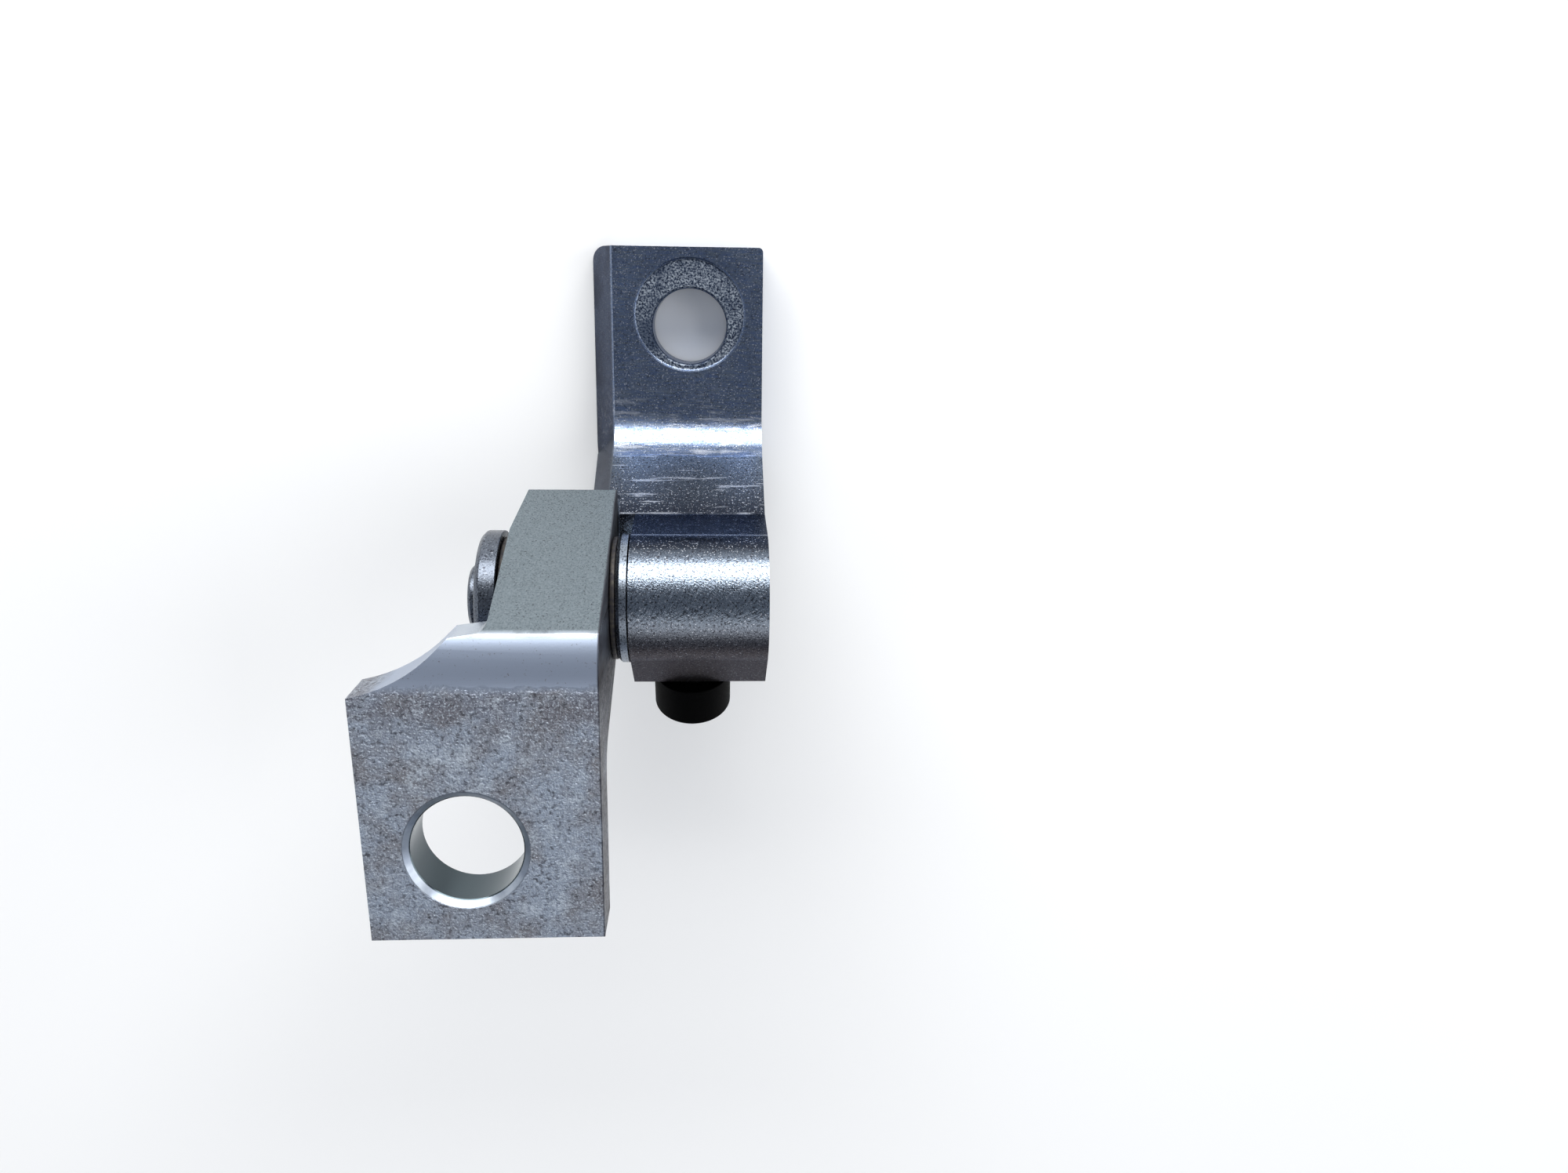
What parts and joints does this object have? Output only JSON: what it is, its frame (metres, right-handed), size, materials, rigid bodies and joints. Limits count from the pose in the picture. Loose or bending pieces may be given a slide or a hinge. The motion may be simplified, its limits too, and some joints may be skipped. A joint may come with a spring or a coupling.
{
  "type": "door hinge",
  "caption": "Lift-off vehicle door hinge: a pillar leaf and a cranked door leaf turning on a headed pin in flanged bushes, locked by a cap screw.",
  "frame": {"origin": "on the pillar leaf's bolting face, 3 mm past the rim of its bolt hole towards the free end", "axes": "+X along the pin from its riveted end to the door leaf's knuckle, +Y from the pillar plate to the door tab, +Z out of both leaves' outer faces"},
  "size_m": [0.0605, 0.1016, 0.064],
  "materials": {
    "pillar_zinc": "zinc-plated rolled steel profile, blasted grain",
    "door_zinc": "zinc-plated rolled steel profile, milled tab",
    "pin_zinc": "zinc-plated turned steel",
    "bush": "lined bronze bush, dark with wear",
    "black_oxide": "black oxide, matt"
  },
  "bodies": {
    "pillar_side": {"pillar_leaf": "pillar_zinc", "bush_inner": "bush", "bush_outer": "bush"},
    "door_side": {"door_leaf": "door_zinc", "hinge_pin": "pin_zinc", "retaining_disc": "pin_zinc", "lock_screw": "black_oxide"}
  },
  "joints": [
    {"name": "hinge", "type": "hinge", "parent": "pillar_side", "child": "door_side", "pos_m": [0.0199, 0.0424, -0.0187], "axis": [1, 0, 0], "range_deg": [-70, 5]}
  ]
}
